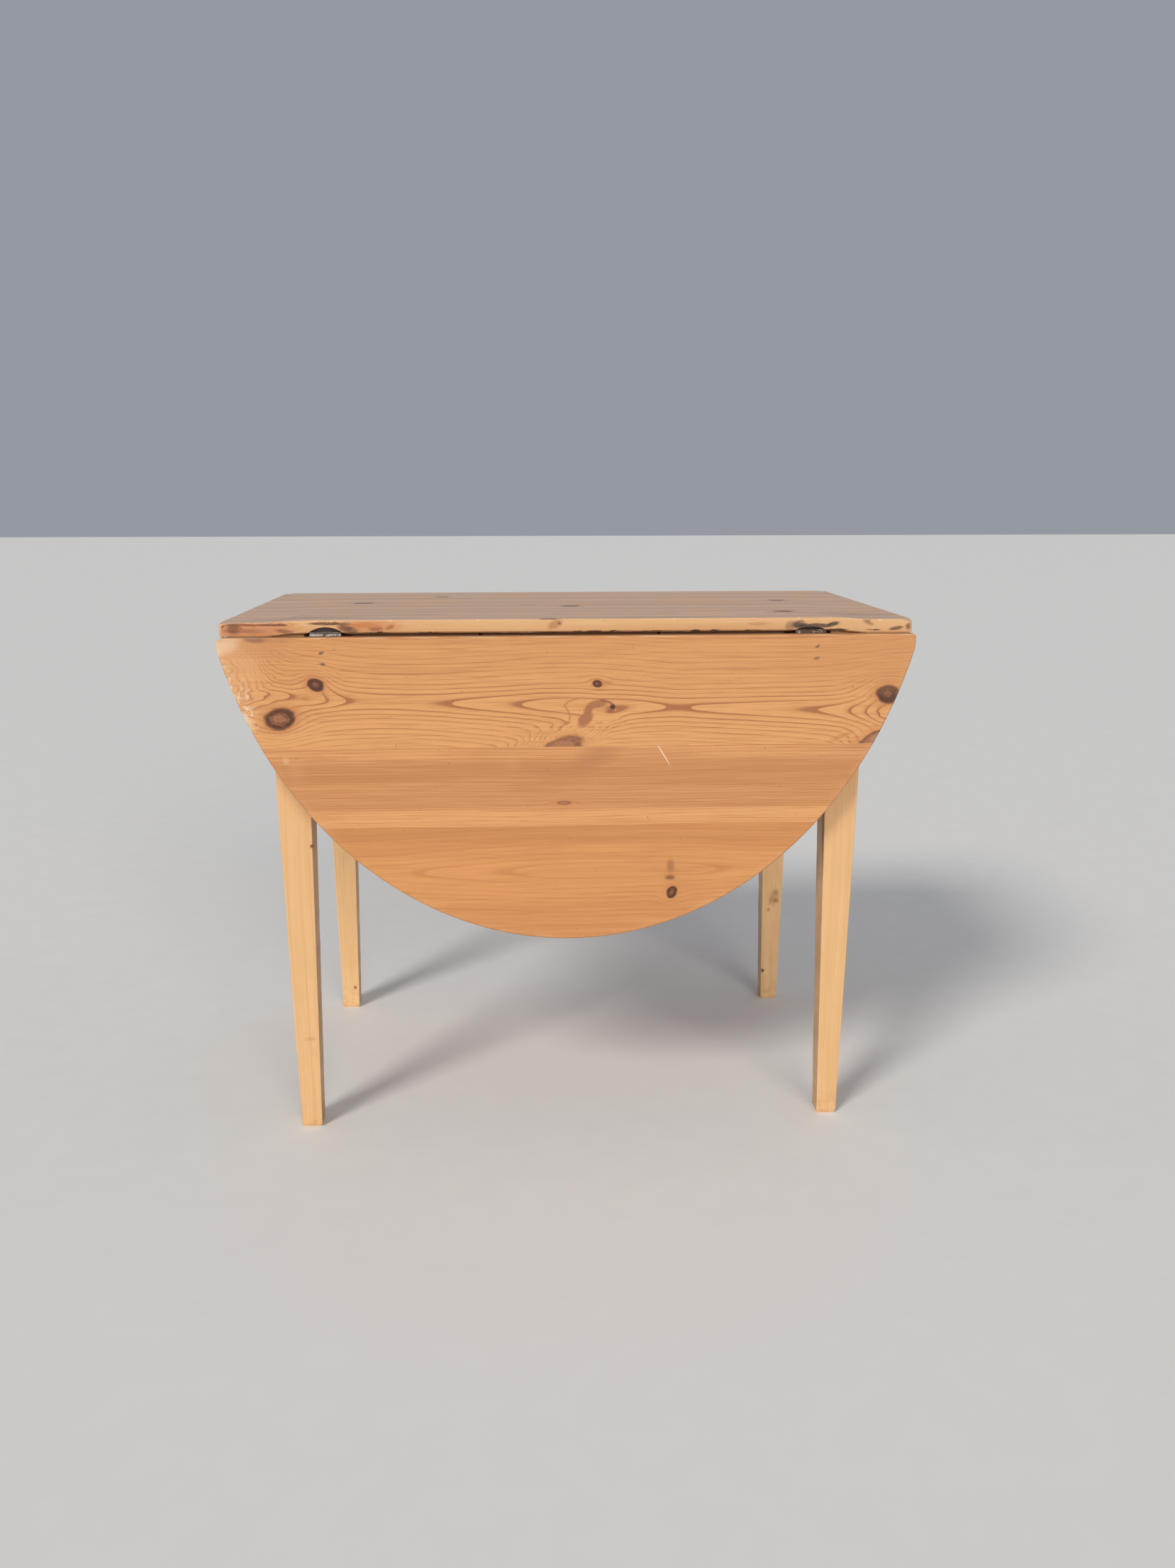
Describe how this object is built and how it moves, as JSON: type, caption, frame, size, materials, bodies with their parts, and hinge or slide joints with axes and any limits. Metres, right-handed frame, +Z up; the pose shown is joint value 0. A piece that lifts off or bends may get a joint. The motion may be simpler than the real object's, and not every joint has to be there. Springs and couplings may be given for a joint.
{
  "type": "pembroke table",
  "caption": "Pine pembroke table: oval leaves hang on iron back-flap hinges beside a narrow fixed top, on square tapered legs joined by rails with swinging wooden flies.",
  "frame": {"origin": "on the floor, under the middle of the fixed top", "axes": "+X along the hinge lines to the right as seen from the front leaf, -Y out of the front leaf, +Z up"},
  "size_m": [0.908, 0.54, 0.72],
  "materials": {
    "pine_top": "old varnish, worn",
    "pine_leaf": "old varnish, satin",
    "pine_leg": "old varnish, satin",
    "pine_frame": "bare, aged",
    "beech": "bare, worn",
    "iron": "aged, dull",
    "steel": "aged"
  },
  "bodies": {
    "frame": {"button_screws": "steel", "end_rail_left": "pine_frame", "end_rail_right": "pine_frame", "fly_block_front": "beech", "fly_block_rear": "beech", "fly_block_screws": "steel", "fly_pin_front_left": "steel", "fly_pin_front_right": "steel", "fly_pin_rear_left": "steel", "fly_pin_rear_right": "steel", "hinge_pin_front_left": "iron", "hinge_pin_front_right": "iron", "hinge_pin_rear_left": "iron", "hinge_pin_rear_right": "iron", "hinge_screws_top_front": "steel", "hinge_screws_top_rear": "steel", "hinge_top_flap_front_left": "iron", "hinge_top_flap_front_right": "iron", "hinge_top_flap_rear_left": "iron", "hinge_top_flap_rear_right": "iron", "leg_front_left": "pine_leg", "leg_front_right": "pine_leg", "leg_rear_left": "pine_leg", "leg_rear_right": "pine_leg", "middle_rail": "pine_frame", "side_rail_front": "pine_frame", "side_rail_rear": "pine_frame", "top_board_front": "pine_top", "top_board_middle": "pine_top", "top_board_rear": "pine_top", "top_button_front_left": "pine_frame", "top_button_front_right": "pine_frame", "top_button_left": "pine_frame", "top_button_rear_left": "pine_frame", "top_button_rear_right": "pine_frame", "top_button_right": "pine_frame"},
    "front_leaf": {"front_leaf_lower_board": "pine_leaf", "front_leaf_middle_board": "pine_leaf", "front_leaf_upper_board": "pine_leaf", "hinge_leaf_flap_front_left": "iron", "hinge_leaf_flap_front_right": "iron", "hinge_screws_leaf_front": "steel"},
    "rear_leaf": {"hinge_leaf_flap_rear_left": "iron", "hinge_leaf_flap_rear_right": "iron", "hinge_screws_leaf_rear": "steel", "rear_leaf_lower_board": "pine_leaf", "rear_leaf_middle_board": "pine_leaf", "rear_leaf_upper_board": "pine_leaf"},
    "fly_front_left": {"fly_front_left": "beech"},
    "fly_front_right": {"fly_front_right": "beech"},
    "fly_rear_left": {"fly_rear_left": "beech"},
    "fly_rear_right": {"fly_rear_right": "beech"}
  },
  "joints": [
    {"name": "front_leaf_hinge", "type": "hinge", "parent": "frame", "child": "front_leaf", "pos_m": [0, -0.2503, 0.7003], "axis": [-1, 0, 0], "range_deg": [0, 90]},
    {"name": "rear_leaf_hinge", "type": "hinge", "parent": "frame", "child": "rear_leaf", "pos_m": [0, 0.2503, 0.7003], "axis": [1, 0, 0], "range_deg": [0, 90]},
    {"name": "fly_front_left_swing", "type": "hinge", "parent": "frame", "child": "fly_front_left", "pos_m": [-0.11, -0.223, 0.6575], "axis": [0, 0, 1], "range_deg": [0, 6]},
    {"name": "fly_front_right_swing", "type": "hinge", "parent": "frame", "child": "fly_front_right", "pos_m": [0.11, -0.223, 0.6575], "axis": [0, 0, -1], "range_deg": [0, 6]},
    {"name": "fly_rear_left_swing", "type": "hinge", "parent": "frame", "child": "fly_rear_left", "pos_m": [-0.11, 0.223, 0.6575], "axis": [0, 0, -1], "range_deg": [0, 6]},
    {"name": "fly_rear_right_swing", "type": "hinge", "parent": "frame", "child": "fly_rear_right", "pos_m": [0.11, 0.223, 0.6575], "axis": [0, 0, 1], "range_deg": [0, 6]}
  ]
}
